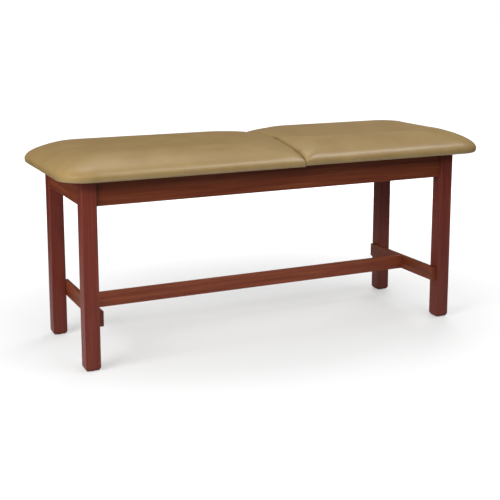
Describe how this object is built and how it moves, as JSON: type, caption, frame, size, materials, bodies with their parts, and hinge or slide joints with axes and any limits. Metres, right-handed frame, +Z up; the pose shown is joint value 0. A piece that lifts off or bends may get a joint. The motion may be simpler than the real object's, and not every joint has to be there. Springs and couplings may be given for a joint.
{
  "type": "examination table",
  "caption": "Wooden H-braced examination table with a crowned, vinyl-covered top in sections; the head section hinges up as a backrest on a bail and notched racks.",
  "frame": {"origin": "on the floor under the middle of the top", "axes": "+X along the table towards the backrest end, +Y across it towards the rear, +Z up"},
  "size_m": [1.803, 0.676, 0.8091],
  "materials": {
    "stained_wood": "mahogany stain, satin lacquer",
    "frame_wood": "mahogany stain, matt",
    "plywood": "bare plywood",
    "vinyl": "tan upholstery vinyl, fine grain",
    "foam": "cut foam",
    "zinc_fasteners": "zinc plated",
    "plated_steel": "plated mild steel",
    "nylon": "black nylon",
    "bumper_rubber": "black rubber"
  },
  "bodies": {
    "table": {"leg_foot_front": "stained_wood", "leg_foot_rear": "stained_wood", "leg_head_front": "stained_wood", "leg_head_rear": "stained_wood", "apron_front": "stained_wood", "apron_rear": "stained_wood", "apron_foot": "stained_wood", "apron_head": "stained_wood", "end_rail_foot": "stained_wood", "end_rail_head": "stained_wood", "stretcher": "stained_wood", "rail_plugs": "stained_wood", "corner_braces": "frame_wood", "hinge_rail": "frame_wood", "rack_front": "frame_wood", "rack_rear": "frame_wood", "seat_board": "plywood", "seat_cover": "vinyl", "seat_foam": "foam", "end_rail_screws": "zinc_fasteners", "stretcher_screws": "zinc_fasteners", "rack_screws": "zinc_fasteners", "seat_board_screws": "zinc_fasteners", "hinge_seat_screws": "zinc_fasteners", "corner_bolts": "zinc_fasteners", "corner_nuts": "zinc_fasteners", "hinge_pins": "zinc_fasteners", "hinge_seat_leaves": "plated_steel", "floor_glides": "nylon", "backrest_bumpers": "bumper_rubber"},
    "backrest": {"back_board": "plywood", "back_foam": "foam", "back_cover": "vinyl", "hinge_back_leaves": "plated_steel", "hinge_back_screws": "zinc_fasteners", "bail_brackets": "plated_steel", "bracket_screws": "zinc_fasteners"},
    "bail": {"bail_arm_front": "plated_steel", "bail_arm_rear": "plated_steel", "pivot_rod": "plated_steel", "rod_end_caps": "nylon", "crossbar": "plated_steel"}
  },
  "joints": [
    {"name": "backrest_hinge", "type": "hinge", "parent": "table", "child": "backrest", "pos_m": [0.044, 0, 0.758], "axis": [0, -1, 0], "range_deg": [0, 60]},
    {"name": "bail_pivot", "type": "hinge", "parent": "backrest", "child": "bail", "pos_m": [0.352, 0, 0.705], "axis": [0, -1, 0], "range_deg": [-120, 0]}
  ],
  "couplings": [
    {"joint": "bail_pivot", "follows": "backrest_hinge", "ratio": -2}
  ]
}
